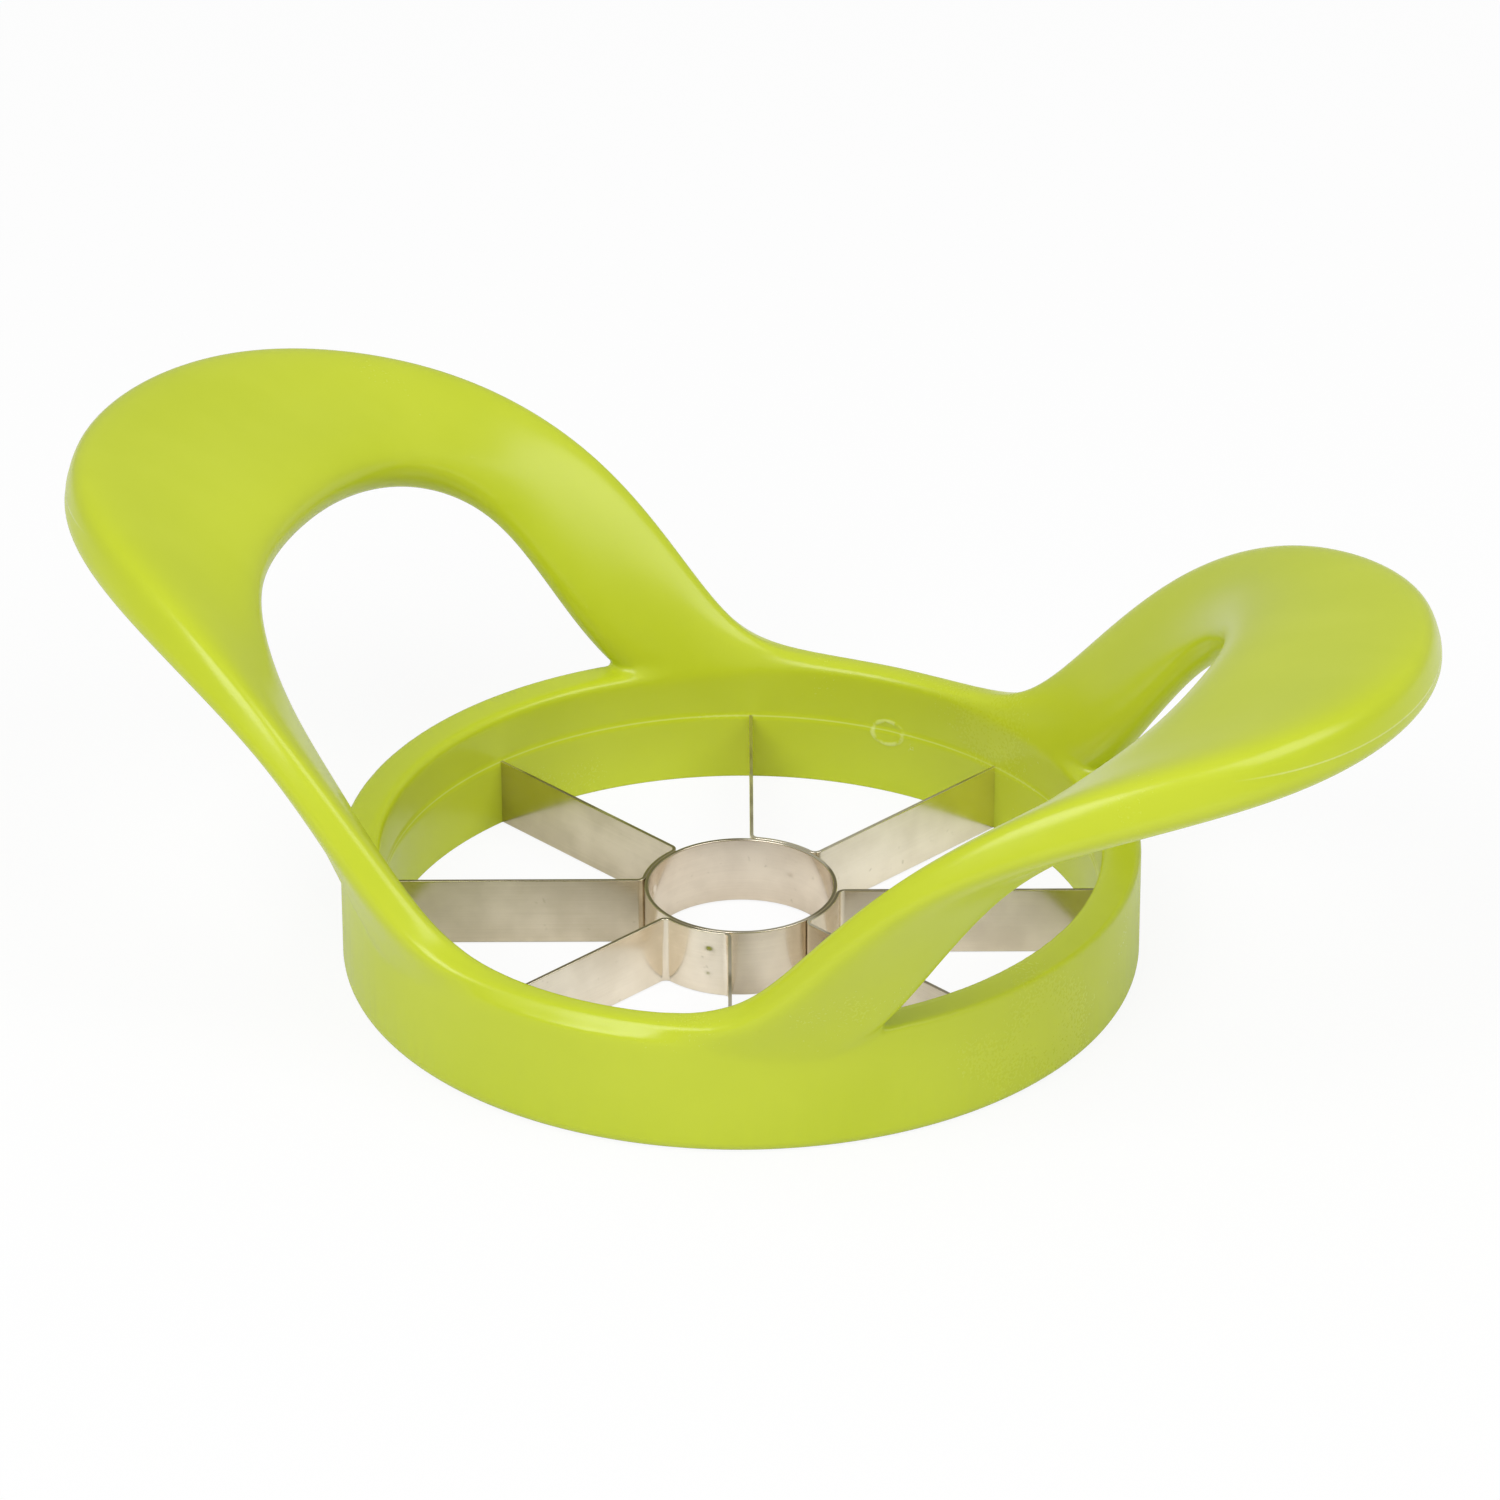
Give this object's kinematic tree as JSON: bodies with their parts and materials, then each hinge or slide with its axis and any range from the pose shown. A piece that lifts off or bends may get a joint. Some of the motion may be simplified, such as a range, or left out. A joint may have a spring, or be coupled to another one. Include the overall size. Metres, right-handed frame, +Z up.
{
  "type": "apple slicer and corer",
  "caption": "Hand press slicer and corer for apples: a moulded ring with two raised loop handles round a star of thin steel arms and a steel core ring.",
  "frame": {"origin": "on the axis of the core ring, in the plane that the ring stands on", "axes": "+X along the two handles, +Y across them, +Z up"},
  "size_m": [0.1798, 0.101, 0.0596],
  "materials": {
    "body_plastic": "moulded, smooth and glossy",
    "blade_steel": "bright rolled strip"
  },
  "bodies": {
    "root": {"handle_body": "body_plastic", "core_ring": "blade_steel", "blade_strip_rear": "blade_steel", "blade_strip_left": "blade_steel", "blade_strip_front": "blade_steel", "blade_strip_right": "blade_steel"}
  },
  "joints": []
}
